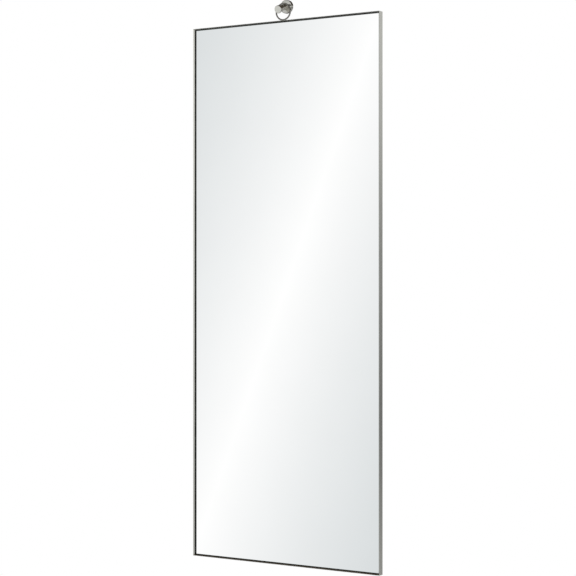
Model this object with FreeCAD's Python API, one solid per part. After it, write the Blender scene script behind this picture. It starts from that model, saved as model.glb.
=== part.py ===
import FreeCAD, Part
import math
import os

# A tall wall mirror in a slim flat-bar metal frame. A wire ring welded on the top rail
# hangs on a round peg that slopes down from a flange on the wall.
# Millimetres. The wall is the plane y = 0, the room is at y < 0, +Z is up and the origin
# is the middle of the flange, on the wall.

# Frame of four mitred flat bars, set on edge, their fronts bevelled towards the glass
FRAME_WIDTH = 610.0
FRAME_HEIGHT = 1524.0
BAR_THICKNESS = 3.2
BAR_BEVEL = 2.7
BAR_EDGE_ROUND = 0.3

# What lies in the frame, from the front edge of the bars to the back
GLASS_RECESS = 8.0
GLASS_THICKNESS = 4.0
GLASS_ARRIS = 0.5
TAPE_THICKNESS = 1.0
BOARD_THICKNESS = 4.0
TAB_THICKNESS = 2.0
BAR_DEPTH = GLASS_RECESS + GLASS_THICKNESS + TAPE_THICKNESS + BOARD_THICKNESS + TAB_THICKNESS
GLASS_CLEARANCE = 1.2
BOARD_CLEARANCE = 0.3

# Foam tape between the glass and the board
TAPE_COUNT = 3
TAPE_WIDTH = 25.0
TAPE_SIDE_MARGIN = 45.0
TAPE_END_MARGIN = 60.0

# Rubber blocks that carry the glass on the bottom rail
BLOCK_LENGTH = 40.0
BLOCK_SPACING = 340.0

# Steel tabs, welded inside the bars, that the board is screwed to
TAB_LENGTH = 22.0
TAB_REACH = 16.0
TAB_CORNER_CUT = 4.0
RAIL_TAB_COUNT = 2
RAIL_TAB_SPACING = 320.0
STILE_TAB_COUNT = 3
STILE_TAB_SPACING = 560.0
TAB_SCREW_DIAMETER = 3.0
TAB_SCREW_INSET = 10.0
TAB_SCREW_BITE = 3.2
TAB_SCREW_HEAD_DIAMETER = 6.6
TAB_SCREW_HEAD_HEIGHT = 1.8
TAB_SCREW_HEAD_EDGE = 0.8
SCREW_CLEARANCE = 0.2

# Rubber bumpers between the board's lower corners and the wall
BUMPER_BASE_DIAMETER = 19.0
BUMPER_WALL_DIAMETER = 15.0
BUMPER_EDGE = 1.0
BUMPER_FLOOR = 4.0
BUMPER_INSET = 46.0
BUMPER_RECESS_DIAMETER = 8.0

# Hanging ring of round wire, ground flat where it is welded on the top rail
RING_MEAN_DIAMETER = 45.5
RING_WIRE_DIAMETER = 4.2
RING_FLAT_DEPTH = 0.6
HANG_CLEARANCE = 0.3
WELD_INNER_REACH = 4.0
WELD_OUTER_REACH = 11.0
WELD_HEIGHT = 1.6
WELD_HOLLOW = 0.35
WELD_WIDTH = 3.4

# Wall plate of the hook, held by two countersunk wall screws
PLATE_THICKNESS = 4.5
PLATE_CLEARANCE = 0.15
PLATE_GROOVE_DEPTH = 0.8
WALL_HOLE_DIAMETER = 4.5
WALL_HOLE_EDGE = 6.85
WALL_COUNTERSINK_DIAMETER = 8.4

# Flange: a cup over the wall plate, fixed by a grub screw from below
FLANGE_DIAMETER = 38.0
FLANGE_WALL = 2.5
FLANGE_EDGE = 1.4
GRUB_DIAMETER = 3.0
GRUB_SOCKET_WIDTH = 1.5
GRUB_SOCKET_DEPTH = 1.2
GRUB_SINK = 0.3

# Screw that holds the peg on the flange, its head inside the cup
PEG_SCREW_DIAMETER = 5.0
PEG_SCREW_GRIP = 9.0
PEG_SCREW_HEAD_DIAMETER = 9.0
PEG_SCREW_HEAD_HEIGHT = 2.2
PEG_SCREW_HEAD_EDGE = 0.5
PEG_SCREW_SOCKET_WIDTH = 3.0
PEG_SCREW_SOCKET_DEPTH = 1.6
HEAD_CLEARANCE = 0.3
THREAD_CLEARANCE = 0.05
FLANGE_HEIGHT = PLATE_THICKNESS + HEAD_CLEARANCE + PEG_SCREW_HEAD_HEIGHT + FLANGE_WALL

# Peg, which falls by so many degrees towards its front end, and its screwed-on cap
PEG_DIAMETER = 16.0
PEG_LENGTH = 40.0
PEG_FALL = 19.0
PEG_BORE_SPARE = 1.0
CAP_DIAMETER = 22.0
CAP_THICKNESS = 5.0
CAP_FRONT_EDGE = 1.2
CAP_BACK_EDGE = 0.5
CAP_STUD_LENGTH = 10.0
RING_STANDOFF = 13.5

# Planes and places worked out from the sizes above
RING_RADIUS = RING_MEAN_DIAMETER / 2
WIRE_RADIUS = RING_WIRE_DIAMETER / 2
RING_Y = -(FLANGE_HEIGHT + RING_STANDOFF)
HANG_Z = -RING_STANDOFF * math.tan(math.radians(PEG_FALL))
HANG_RISE = (PEG_DIAMETER / 2 + HANG_CLEARANCE + WIRE_RADIUS) / math.cos(math.radians(PEG_FALL))
RING_Z = HANG_Z + HANG_RISE - RING_RADIUS
FRAME_FRONT = RING_Y - WIRE_RADIUS
FRAME_BACK = FRAME_FRONT + BAR_DEPTH
FRAME_TOP = RING_Z - RING_RADIUS - WIRE_RADIUS + RING_FLAT_DEPTH
FRAME_BOTTOM = FRAME_TOP - FRAME_HEIGHT
FRAME_MIDDLE = (FRAME_TOP + FRAME_BOTTOM) / 2
OPENING_WIDTH = FRAME_WIDTH - 2 * BAR_THICKNESS
OPENING_HEIGHT = FRAME_HEIGHT - 2 * BAR_THICKNESS
GLASS_FRONT = FRAME_FRONT + GLASS_RECESS
GLASS_BACK = GLASS_FRONT + GLASS_THICKNESS
BOARD_FRONT = GLASS_BACK + TAPE_THICKNESS
BOARD_BACK = BOARD_FRONT + BOARD_THICKNESS
FLANGE_RADIUS = FLANGE_DIAMETER / 2
PLATE_RADIUS = FLANGE_RADIUS - FLANGE_WALL - PLATE_CLEARANCE

TOWARDS_WALL = FreeCAD.Vector(0, 1, 0)
TOWARDS_ROOM = FreeCAD.Vector(0, -1, 0)
ACROSS = FreeCAD.Vector(1, 0, 0)
UP = FreeCAD.Vector(0, 0, 1)


def save(name, *solids):
    """Writes one named piece, or a group of like pieces, as a file of its own."""
    shape = solids[0] if len(solids) == 1 else Part.makeCompound(list(solids))
    shape.exportStep(f"parts/{name}.step")


def at(x, y, z):
    return FreeCAD.Vector(x, y, z)


def evenly(count, spacing):
    """Places along a line, centred on 0."""
    return [(i - (count - 1) / 2) * spacing for i in range(count)]


def edges_along(solid, direction):
    """The straight edges of a solid that run along a direction."""
    straight = [e for e in solid.Edges if isinstance(e.Curve, Part.Line)]
    return [e for e in straight if e.Curve.Direction.cross(direction).Length < 1e-6]


def near(edge, point):
    """Whether the middle of an edge lies at a point."""
    return edge.CenterOfMass.distanceToPoint(point) < 1e-6


def hex_socket(width, depth, centre, direction):
    """A hexagon key's recess, sunk into a face that looks along the direction."""
    corner = width / 3 ** 0.5
    turns = [FreeCAD.Rotation(direction, 60 * i) for i in range(6)]
    corners = [centre + turn.multVec(ACROSS * corner) for turn in turns]
    outline = Part.makePolygon(corners + corners[:1])
    return Part.Face(outline).extrude(direction * -depth)


def turned(outline):
    """A solid turned about the flange's axis from (radius, y) points; the outline is closed."""
    points = [at(radius, y, 0) for radius, y in outline]
    face = Part.Face(Part.makePolygon(points + points[:1]))
    return face.revolve(at(0, 0, 0), TOWARDS_WALL, 360)


def eased_rim(solid, radius, y, width):
    """Bevels the circular edge of that radius that lies in the plane at y."""
    circles = [e for e in solid.Edges if isinstance(e.Curve, Part.Circle)]
    rim = [e for e in circles if abs(e.Curve.Radius - radius) < 1e-6 and abs(e.Curve.Center.y - y) < 1e-6]
    return solid.makeChamfer(width, rim)


def mitred_bar(length):
    """A flat bar along X with 45 degree ends and a bevelled front, its outer face in the plane z = 0."""
    half = length / 2
    outline = Part.makePolygon([
        at(-half, FRAME_FRONT, 0),
        at(half, FRAME_FRONT, 0),
        at(half - BAR_THICKNESS, FRAME_FRONT, -BAR_THICKNESS),
        at(BAR_THICKNESS - half, FRAME_FRONT, -BAR_THICKNESS),
        at(-half, FRAME_FRONT, 0),
    ])
    bar = Part.Face(outline).extrude(TOWARDS_WALL * BAR_DEPTH)
    inner_front = at(0, FRAME_FRONT, -BAR_THICKNESS)
    bar = bar.makeChamfer(BAR_BEVEL, [e for e in edges_along(bar, ACROSS) if near(e, inner_front)])
    square_corners = [at(0, FRAME_FRONT, 0), at(0, FRAME_BACK, 0), at(0, FRAME_BACK, -BAR_THICKNESS)]
    square_edges = [e for e in edges_along(bar, ACROSS) if any(near(e, corner) for corner in square_corners)]
    return bar.makeFillet(BAR_EDGE_ROUND, square_edges)


def placed_on_side(solid, side):
    """Turns a solid made for the top rail, with its outer face at z = 0, to a side of the frame."""
    turns = {"top": 0, "right": 90, "bottom": 180, "left": -90}
    reach = FRAME_HEIGHT / 2 if side in ("top", "bottom") else FRAME_WIDTH / 2
    moved = solid.copy()
    moved.translate(UP * reach)
    moved.rotate(at(0, 0, 0), TOWARDS_WALL, turns[side])
    moved.translate(UP * FRAME_MIDDLE)
    return moved


def panel(front, thickness, clearance):
    """A sheet that fills the frame's opening, less a clearance all round."""
    width = OPENING_WIDTH - 2 * clearance
    height = OPENING_HEIGHT - 2 * clearance
    corner = at(-width / 2, front, FRAME_MIDDLE - height / 2)
    return Part.makeBox(width, thickness, height, corner)


def frame_bars():
    save("frame_top_rail", placed_on_side(mitred_bar(FRAME_WIDTH), "top"))
    save("frame_bottom_rail", placed_on_side(mitred_bar(FRAME_WIDTH), "bottom"))
    save("frame_left_stile", placed_on_side(mitred_bar(FRAME_HEIGHT), "left"))
    save("frame_right_stile", placed_on_side(mitred_bar(FRAME_HEIGHT), "right"))


def mirror_glass():
    """The silvered pane, with its front edges ground off."""
    glass = panel(GLASS_FRONT, GLASS_THICKNESS, GLASS_CLEARANCE)
    front_edges = [e for e in glass.Edges if abs(e.CenterOfMass.y - GLASS_FRONT) < 1e-6]
    save("mirror_glass", glass.makeChamfer(GLASS_ARRIS, front_edges))


def foam_tapes():
    """Upright strips, the outer two a margin in from the frame's opening."""
    spread = OPENING_WIDTH - 2 * TAPE_SIDE_MARGIN - TAPE_WIDTH
    length = OPENING_HEIGHT - 2 * TAPE_END_MARGIN
    for number, x in enumerate(evenly(TAPE_COUNT, spread / (TAPE_COUNT - 1)), 1):
        corner = at(x - TAPE_WIDTH / 2, GLASS_BACK, FRAME_MIDDLE - length / 2)
        save(f"foam_tape_{number}", Part.makeBox(TAPE_WIDTH, TAPE_THICKNESS, length, corner))


def setting_blocks():
    for side, x in zip(("left", "right"), evenly(2, BLOCK_SPACING)):
        corner = at(x - BLOCK_LENGTH / 2, GLASS_FRONT, FRAME_BOTTOM + BAR_THICKNESS)
        save(f"setting_block_{side}", Part.makeBox(BLOCK_LENGTH, GLASS_THICKNESS, GLASS_CLEARANCE, corner))


def tab_screw_hole(x, diameter, start, end):
    """A round hole or shank at a tab's screw, along Y, in the top rail's place."""
    centre = at(x, start, -BAR_THICKNESS - TAB_SCREW_INSET)
    return Part.makeCylinder(diameter / 2, end - start, centre, TOWARDS_WALL)


def retaining_tab(x):
    """A flat tab whose back is flush with the bars' back edges."""
    corner = at(x - TAB_LENGTH / 2, BOARD_BACK, -BAR_THICKNESS - TAB_REACH)
    tab = Part.makeBox(TAB_LENGTH, TAB_THICKNESS, TAB_REACH, corner)
    inner = [e for e in edges_along(tab, TOWARDS_WALL) if abs(e.CenterOfMass.z - corner.z) < 1e-6]
    tab = tab.makeChamfer(TAB_CORNER_CUT, inner)
    hole = tab_screw_hole(x, TAB_SCREW_DIAMETER + 2 * SCREW_CLEARANCE, BOARD_BACK, FRAME_BACK)
    return tab.cut(hole)


def pan_head_screw(x):
    """A short screw through a tab into the board, with a low eased head."""
    shank = tab_screw_hole(x, TAB_SCREW_DIAMETER, BOARD_BACK - TAB_SCREW_BITE, FRAME_BACK)
    back = FRAME_BACK + TAB_SCREW_HEAD_HEIGHT
    head = tab_screw_hole(x, TAB_SCREW_HEAD_DIAMETER, FRAME_BACK, back)
    head = eased_rim(head, TAB_SCREW_HEAD_DIAMETER / 2, back, TAB_SCREW_HEAD_EDGE)
    return shank.fuse(head).removeSplitter()


def tabs_and_board():
    """The board, the tabs along each bar and the screws between them."""
    screws = []
    shanks = []
    for side in ("top", "bottom", "left", "right"):
        on_rail = side in ("top", "bottom")
        count = RAIL_TAB_COUNT if on_rail else STILE_TAB_COUNT
        spacing = RAIL_TAB_SPACING if on_rail else STILE_TAB_SPACING
        for number, x in enumerate(evenly(count, spacing), 1):
            save(f"retaining_tab_{side}_{number}", placed_on_side(retaining_tab(x), side))
            screws.append(placed_on_side(pan_head_screw(x), side))
            pilot = tab_screw_hole(x, TAB_SCREW_DIAMETER, BOARD_BACK - TAB_SCREW_BITE, BOARD_BACK)
            shanks.append(placed_on_side(pilot, side))
    save("tab_screws", *screws)
    bumper_places = [at(x, BOARD_BACK, FRAME_BOTTOM + BUMPER_INSET) for x in evenly(2, bumper_spread())]
    for place in bumper_places:
        shanks.append(bumper_screw_shank(place, BOARD_BACK))
    board = panel(BOARD_FRONT, BOARD_THICKNESS, BOARD_CLEARANCE)
    save("backing_board", board.cut(Part.makeCompound(shanks)))
    for side, place in zip(("left", "right"), bumper_places):
        save(f"wall_bumper_{side}", wall_bumper(place))
    save("bumper_screws", *[bumper_screw(place) for place in bumper_places])


def bumper_spread():
    return FRAME_WIDTH - 2 * BUMPER_INSET


def bumper_screw_shank(place, end):
    """The part of a bumper's screw from its tip in the board to the plane y = end."""
    start = BOARD_BACK - TAB_SCREW_BITE
    tip = at(place.x, start, place.z)
    return Part.makeCylinder(TAB_SCREW_DIAMETER / 2, end - start, tip, TOWARDS_WALL)


def wall_bumper(place):
    """A tapered rubber foot from the board to the wall, recessed for its screw."""
    height = -BOARD_BACK
    foot = Part.makeCone(BUMPER_BASE_DIAMETER / 2, BUMPER_WALL_DIAMETER / 2, height, place, TOWARDS_WALL)
    foot = eased_rim(foot, BUMPER_WALL_DIAMETER / 2, 0, BUMPER_EDGE)
    seat = place + TOWARDS_WALL * BUMPER_FLOOR
    recess = Part.makeCylinder(BUMPER_RECESS_DIAMETER / 2, height - BUMPER_FLOOR, seat, TOWARDS_WALL)
    hole_radius = TAB_SCREW_DIAMETER / 2 + SCREW_CLEARANCE
    hole = Part.makeCylinder(hole_radius, BUMPER_FLOOR, place, TOWARDS_WALL)
    return foot.cut(recess.fuse(hole))


def bumper_screw(place):
    """A pan head screw seated on the floor of its bumper's recess."""
    seat = place.y + BUMPER_FLOOR
    head_place = at(place.x, seat, place.z)
    head = Part.makeCylinder(TAB_SCREW_HEAD_DIAMETER / 2, TAB_SCREW_HEAD_HEIGHT, head_place, TOWARDS_WALL)
    head = eased_rim(head, TAB_SCREW_HEAD_DIAMETER / 2, seat + TAB_SCREW_HEAD_HEIGHT, TAB_SCREW_HEAD_EDGE)
    return bumper_screw_shank(place, seat).fuse(head).removeSplitter()


def whole_ring():
    return Part.makeTorus(RING_RADIUS, WIRE_RADIUS, at(0, RING_Y, RING_Z), TOWARDS_WALL)


def hanging_ring():
    """The wire ring, cut flat in the plane of the top rail's upper face."""
    reach = RING_RADIUS + WIRE_RADIUS
    corner = at(-reach, RING_Y - WIRE_RADIUS, FRAME_TOP - RING_FLAT_DEPTH)
    ground_off = Part.makeBox(2 * reach, RING_WIRE_DIAMETER, RING_FLAT_DEPTH, corner)
    save("hanging_ring", whole_ring().cut(ground_off))


def ring_weld():
    """The bead on each side of the ring's flat: a hollow wedge between the ring and the rail."""
    beads = []
    for side in (-1, 1):
        toe = at(side * WELD_OUTER_REACH, 0, FRAME_TOP)
        heel = at(side * WELD_INNER_REACH, 0, FRAME_TOP)
        crest = at(side * WELD_INNER_REACH, 0, FRAME_TOP + WELD_HEIGHT)
        slope_middle = (toe + crest) * 0.5 - UP * WELD_HOLLOW
        wedge = Part.Wire([
            Part.LineSegment(heel, toe).toShape(),
            Part.Arc(toe, slope_middle, crest).toShape(),
            Part.LineSegment(crest, heel).toShape(),
        ])
        bead = Part.Face(wedge).extrude(TOWARDS_WALL * WELD_WIDTH)
        bead.translate(TOWARDS_WALL * (RING_Y - WELD_WIDTH / 2))
        bead = bead.cut(whole_ring())
        beads.append(max(bead.Solids, key=lambda solid: abs(solid.CenterOfMass.x)))
    save("ring_weld", *beads)


def wall_plate():
    """A thick disc with a square groove round its rim and two countersunk holes."""
    groove_radius = PLATE_RADIUS - PLATE_GROOVE_DEPTH
    groove_back = PLATE_GROOVE_DEPTH - PLATE_THICKNESS / 2
    groove_front = -PLATE_GROOVE_DEPTH - PLATE_THICKNESS / 2
    plate = turned([
        (0, 0),
        (PLATE_RADIUS, 0),
        (PLATE_RADIUS, groove_back),
        (groove_radius, groove_back),
        (groove_radius, groove_front),
        (PLATE_RADIUS, groove_front),
        (PLATE_RADIUS, -PLATE_THICKNESS),
        (0, -PLATE_THICKNESS),
    ])
    hole_radius = WALL_HOLE_DIAMETER / 2
    sink_radius = WALL_COUNTERSINK_DIAMETER / 2
    for x in evenly(2, 2 * (PLATE_RADIUS - WALL_HOLE_EDGE)):
        front = at(x, -PLATE_THICKNESS, 0)
        hole = Part.makeCylinder(hole_radius, PLATE_THICKNESS, front, TOWARDS_WALL)
        sink = Part.makeCone(sink_radius, hole_radius, sink_radius - hole_radius, front, TOWARDS_WALL)
        plate = plate.cut(hole.fuse(sink))
    save("hook_wall_plate", plate)


def hook_flange():
    """A turned cup over the wall plate, with holes for the peg's screw and the grub screw."""
    inner_radius = FLANGE_RADIUS - FLANGE_WALL
    cup = turned([
        (0, -FLANGE_HEIGHT),
        (FLANGE_RADIUS, -FLANGE_HEIGHT),
        (FLANGE_RADIUS, 0),
        (inner_radius, 0),
        (inner_radius, FLANGE_WALL - FLANGE_HEIGHT),
        (0, FLANGE_WALL - FLANGE_HEIGHT),
    ])
    cup = eased_rim(cup, FLANGE_RADIUS, -FLANGE_HEIGHT, FLANGE_EDGE)
    screw_radius = PEG_SCREW_DIAMETER / 2 + SCREW_CLEARANCE
    screw_hole = Part.makeCylinder(screw_radius, FLANGE_WALL, at(0, -FLANGE_HEIGHT, 0), TOWARDS_WALL)
    grub_radius = GRUB_DIAMETER / 2 + THREAD_CLEARANCE
    below = at(0, -PLATE_THICKNESS / 2, -FLANGE_RADIUS)
    grub_hole = Part.makeCylinder(grub_radius, 2 * FLANGE_WALL, below, UP)
    save("hook_flange", cup.cut(screw_hole.fuse(grub_hole)))


def grub_screw():
    """A headless screw up through the flange's side, its cone point in the wall plate's groove."""
    radius = GRUB_DIAMETER / 2
    y = -PLATE_THICKNESS / 2
    bottom = GRUB_SINK - FLANGE_RADIUS
    tip = PLATE_GROOVE_DEPTH - PLATE_RADIUS - THREAD_CLEARANCE * 2 ** 0.5
    body = Part.makeCylinder(radius, tip - radius - bottom, at(0, y, bottom), UP)
    point = Part.makeCone(radius, 0, radius, at(0, y, tip - radius), UP)
    socket = hex_socket(GRUB_SOCKET_WIDTH, GRUB_SOCKET_DEPTH, at(0, y, bottom), UP * -1)
    save("hook_grub_screw", body.fuse(point).cut(socket).removeSplitter())


def peg_screw():
    """A flat-headed key screw from inside the flange into the back of the peg."""
    head_back = FLANGE_WALL - FLANGE_HEIGHT + PEG_SCREW_HEAD_HEIGHT
    head_front = at(0, FLANGE_WALL - FLANGE_HEIGHT, 0)
    head = Part.makeCylinder(PEG_SCREW_HEAD_DIAMETER / 2, PEG_SCREW_HEAD_HEIGHT, head_front, TOWARDS_WALL)
    head = eased_rim(head, PEG_SCREW_HEAD_DIAMETER / 2, head_back, PEG_SCREW_HEAD_EDGE)
    tip = at(0, -FLANGE_HEIGHT - PEG_SCREW_GRIP, 0)
    shank = Part.makeCylinder(PEG_SCREW_DIAMETER / 2, PEG_SCREW_GRIP + FLANGE_WALL, tip, TOWARDS_WALL)
    socket = hex_socket(PEG_SCREW_SOCKET_WIDTH, PEG_SCREW_SOCKET_DEPTH, at(0, head_back, 0), TOWARDS_WALL)
    save("hook_peg_screw", head.fuse(shank).cut(socket).removeSplitter())


def sloped(solid):
    """Tips a solid that was made level to the peg's fall, about the point where the peg leaves the flange."""
    tipped = solid.copy()
    tipped.rotate(at(0, -FLANGE_HEIGHT, 0), ACROSS, PEG_FALL)
    return tipped


def hook_peg():
    """A round bar, bored at both ends, its back cut on the slant to sit flat on the flange."""
    back = -FLANGE_HEIGHT
    front = back - PEG_LENGTH
    bore_radius = PEG_SCREW_DIAMETER / 2 + THREAD_CLEARANCE
    bar = Part.makeCylinder(PEG_DIAMETER / 2, PEG_LENGTH + PEG_DIAMETER, at(0, front, 0), TOWARDS_WALL)
    stud_depth = CAP_STUD_LENGTH + PEG_BORE_SPARE
    stud_bore = Part.makeCylinder(bore_radius, stud_depth, at(0, front, 0), TOWARDS_WALL)
    bar = sloped(bar.cut(stud_bore))
    corner = at(-PEG_DIAMETER, back, -2 * PEG_DIAMETER)
    past_flange = Part.makeBox(2 * PEG_DIAMETER, 2 * PEG_DIAMETER, 4 * PEG_DIAMETER, corner)
    screw_bore = Part.makeCylinder(bore_radius, PEG_SCREW_GRIP + PEG_BORE_SPARE, at(0, back, 0), TOWARDS_ROOM)
    save("hook_peg", bar.cut(past_flange).cut(screw_bore))


def hook_cap():
    """A round cap with eased rims and a stud that screws into the front of the peg."""
    back = -FLANGE_HEIGHT - PEG_LENGTH
    front = back - CAP_THICKNESS
    disc = Part.makeCylinder(CAP_DIAMETER / 2, CAP_THICKNESS, at(0, front, 0), TOWARDS_WALL)
    disc = eased_rim(disc, CAP_DIAMETER / 2, front, CAP_FRONT_EDGE)
    disc = eased_rim(disc, CAP_DIAMETER / 2, back, CAP_BACK_EDGE)
    stud = Part.makeCylinder(PEG_SCREW_DIAMETER / 2, CAP_STUD_LENGTH, at(0, back, 0), TOWARDS_WALL)
    save("hook_cap", sloped(disc.fuse(stud).removeSplitter()))


os.makedirs("parts", exist_ok=True)
wall_plate()
hook_flange()
grub_screw()
peg_screw()
hook_peg()
hook_cap()
frame_bars()
hanging_ring()
ring_weld()
mirror_glass()
foam_tapes()
setting_blocks()
tabs_and_board()
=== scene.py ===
import math

import bmesh
import bpy
import numpy as np
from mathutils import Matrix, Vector


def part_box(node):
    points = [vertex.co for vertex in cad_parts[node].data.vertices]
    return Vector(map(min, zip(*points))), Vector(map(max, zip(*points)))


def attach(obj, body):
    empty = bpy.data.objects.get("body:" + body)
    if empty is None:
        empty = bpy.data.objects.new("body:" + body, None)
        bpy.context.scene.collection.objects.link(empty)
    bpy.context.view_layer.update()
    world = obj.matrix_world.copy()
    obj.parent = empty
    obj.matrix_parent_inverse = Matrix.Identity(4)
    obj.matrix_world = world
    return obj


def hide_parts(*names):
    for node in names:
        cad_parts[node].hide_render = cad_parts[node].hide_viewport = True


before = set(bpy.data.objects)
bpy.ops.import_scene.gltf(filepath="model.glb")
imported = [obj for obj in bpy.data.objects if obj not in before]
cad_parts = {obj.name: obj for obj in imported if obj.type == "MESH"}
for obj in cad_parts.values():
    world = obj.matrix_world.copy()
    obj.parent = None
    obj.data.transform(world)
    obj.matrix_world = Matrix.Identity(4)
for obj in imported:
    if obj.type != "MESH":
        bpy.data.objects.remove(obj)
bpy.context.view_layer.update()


# Wall plate of the hook: a thick steel disc, turned, drilled and zinc plated.
# It is screwed to the wall first, and the flange is pushed over it and locked by a grub screw.
ZINC_PALE = (0.60, 0.61, 0.62, 1.0)
ZINC_DULL = (0.42, 0.43, 0.45, 1.0)
ZINC_CLOUDS_PER_METRE = 240.0
ZINC_SPECKS_PER_METRE = 5200.0
ZINC_SPECK_DEPTH = 0.000004
ZINC_ROUGHNESS = (0.42, 0.30)
NOISE_RANGE = (0.3, 0.7)


def new_finish(name):
    """A new material; returns it, its node tree and its one shader."""
    material = bpy.data.materials.new(name)
    material.use_nodes = True
    return material, material.node_tree, material.node_tree.nodes["Principled BSDF"]


def grain(tree, per_metre, detail=3.0):
    """Noise on the piece's own coordinates, with a count of grains per metre along X, Y and Z."""
    place = tree.nodes.new("ShaderNodeTexCoord")
    stretch = tree.nodes.new("ShaderNodeMapping")
    noise = tree.nodes.new("ShaderNodeTexNoise")
    stretch.inputs["Scale"].default_value = per_metre
    noise.inputs["Scale"].default_value = 1.0
    noise.inputs["Detail"].default_value = detail
    tree.links.new(place.outputs["Object"], stretch.inputs["Vector"])
    tree.links.new(stretch.outputs["Vector"], noise.inputs["Vector"])
    return noise.outputs["Fac"]


def even_grain(tree, per_metre, detail=3.0):
    """Noise with the same count of grains per metre every way."""
    return grain(tree, (per_metre, per_metre, per_metre), detail)


def tint(tree, shader, value, low_colour, high_colour, low=0.35, high=0.65):
    """Colours a surface between two tones, by where a noise value lies in its range."""
    ramp = tree.nodes.new("ShaderNodeValToRGB")
    ramp.color_ramp.elements[0].position = low
    ramp.color_ramp.elements[1].position = high
    ramp.color_ramp.elements[0].color = low_colour
    ramp.color_ramp.elements[1].color = high_colour
    tree.links.new(value, ramp.inputs["Fac"])
    tree.links.new(ramp.outputs["Color"], shader.inputs["Base Color"])


def ranged(tree, value, low, high):
    """A noise value, which mostly lies in the noise range, carried to another range."""
    mapped = tree.nodes.new("ShaderNodeMapRange")
    mapped.inputs["From Min"].default_value = NOISE_RANGE[0]
    mapped.inputs["From Max"].default_value = NOISE_RANGE[1]
    mapped.inputs["To Min"].default_value = low
    mapped.inputs["To Max"].default_value = high
    tree.links.new(value, mapped.inputs["Value"])
    return mapped.outputs["Result"]


def gloss(tree, shader, value, roughness):
    """Makes a surface as rough as a noise value says, between two limits."""
    tree.links.new(ranged(tree, value, *roughness), shader.inputs["Roughness"])


def relief(tree, shader, value, depth):
    """Raises a surface by a noise value times a depth in metres."""
    bump = tree.nodes.new("ShaderNodeBump")
    bump.inputs["Strength"].default_value = 1.0
    bump.inputs["Distance"].default_value = depth
    tree.links.new(value, bump.inputs["Height"])
    tree.links.new(bump.outputs["Normal"], shader.inputs["Normal"])


def plated_steel(name):
    """Bright zinc on steel: a cloudy blue-grey tone, half dull, with a fine speckled skin."""
    material, tree, shader = new_finish(name)
    clouds = even_grain(tree, ZINC_CLOUDS_PER_METRE)
    specks = even_grain(tree, ZINC_SPECKS_PER_METRE)
    shader.inputs["Metallic"].default_value = 1.0
    tint(tree, shader, clouds, ZINC_DULL, ZINC_PALE)
    gloss(tree, shader, clouds, ZINC_ROUGHNESS)
    relief(tree, shader, specks, ZINC_SPECK_DEPTH)
    return material


def dress(material, *nodes):
    """Gives CAD pieces a finish."""
    for node in nodes:
        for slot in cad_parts[node].material_slots:
            slot.material = material


zinc = plated_steel("zinc_plated_steel")
dress(zinc, "hook_wall_plate")


# Flange of the hook: a round cup turned from brass, polished and nickel plated.
# It covers the wall plate, and a hole in its underside lets the grub screw through.
# Its nickel is a little darker than the peg's.
FLANGE_EDGE_ROUND = 0.0016
FLANGE_LIP_ROUND = 0.0004
FLANGE_WALL = 0.0025
CUP_ROUND = 0.0005
HOLE_ROUND = 0.0002
SCREW_HOLE_RADIUS = 0.0027
GRUB_HOLE_RADIUS = 0.00155
PLATE_CLEARANCE = 0.00015
FLANGE_NICKEL_WARM = (0.56, 0.545, 0.505, 1.0)
FLANGE_NICKEL_COOL = (0.50, 0.49, 0.455, 1.0)
POLISH_CLOUDS_PER_METRE = 90.0
POLISH_HAIRLINES_PER_METRE = 3000.0
POLISH_HAIRLINE_DETAIL = 2.0
POLISH_HAIRLINE_DEPTH = 0.0000006
POLISH_ROUGHNESS = (0.16, 0.09)
TURNED_SIDES = 128
ARC_STEPS = 8
FLAT_MARGIN = 0.00008
SHARP_ANGLE = math.radians(40)
SAME_POINT = 0.0000001
SLIVER = 0.000004


def polished_nickel(name, cool, warm):
    """Buffed nickel plate: a warm grey mirror, cloudy from handling, with faint hairlines."""
    material, tree, shader = new_finish(name)
    clouds = even_grain(tree, POLISH_CLOUDS_PER_METRE)
    hairlines = even_grain(tree, POLISH_HAIRLINES_PER_METRE, POLISH_HAIRLINE_DETAIL)
    shader.inputs["Metallic"].default_value = 1.0
    tint(tree, shader, clouds, cool, warm)
    gloss(tree, shader, clouds, POLISH_ROUGHNESS)
    relief(tree, shader, hairlines, POLISH_HAIRLINE_DEPTH)
    return material


def rounded_outline(corners, closed):
    """Points along an outline of (radius, y, round) corners.

    A corner with a round becomes an arc tangent to both sides: its centre lies on the corner's bisector,
    at round / sin(half the angle), and the arc turns from one tangent point to the other.
    Two points close to each corner keep the flats between them flat when they are shaded smooth.
    """
    places = np.array([corner[:2] for corner in corners], float)
    rounds = [corner[2] for corner in corners]
    points = []
    for i, (place, size) in enumerate(zip(places, rounds)):
        if not closed and i in (0, len(corners) - 1):
            points.append(place[None])
            continue
        before = places[i - 1] - place
        after = places[(i + 1) % len(places)] - place
        room_before = np.linalg.norm(before)
        room_after = np.linalg.norm(after)
        before /= room_before
        after /= room_after
        half = math.acos(np.clip(before @ after, -1, 1)) / 2
        reach = size / math.tan(half)
        margin_before = min(reach + FLAT_MARGIN, room_before / 2)
        margin_after = min(reach + FLAT_MARGIN, room_after / 2)
        bisector = (before + after) / np.linalg.norm(before + after)
        centre = place + bisector * size / math.sin(half)
        start = place + before * reach - centre
        end = place + after * reach - centre
        share = np.linspace(0, 1, ARC_STEPS + 1)[:, None]
        turn = math.pi - 2 * half
        arc = centre + (start * np.sin((1 - share) * turn) + end * np.sin(share * turn)) / math.sin(turn)
        points.append((place + before * margin_before)[None])
        points.append(arc)
        points.append((place + after * margin_after)[None])
    return np.concatenate(points)


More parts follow.
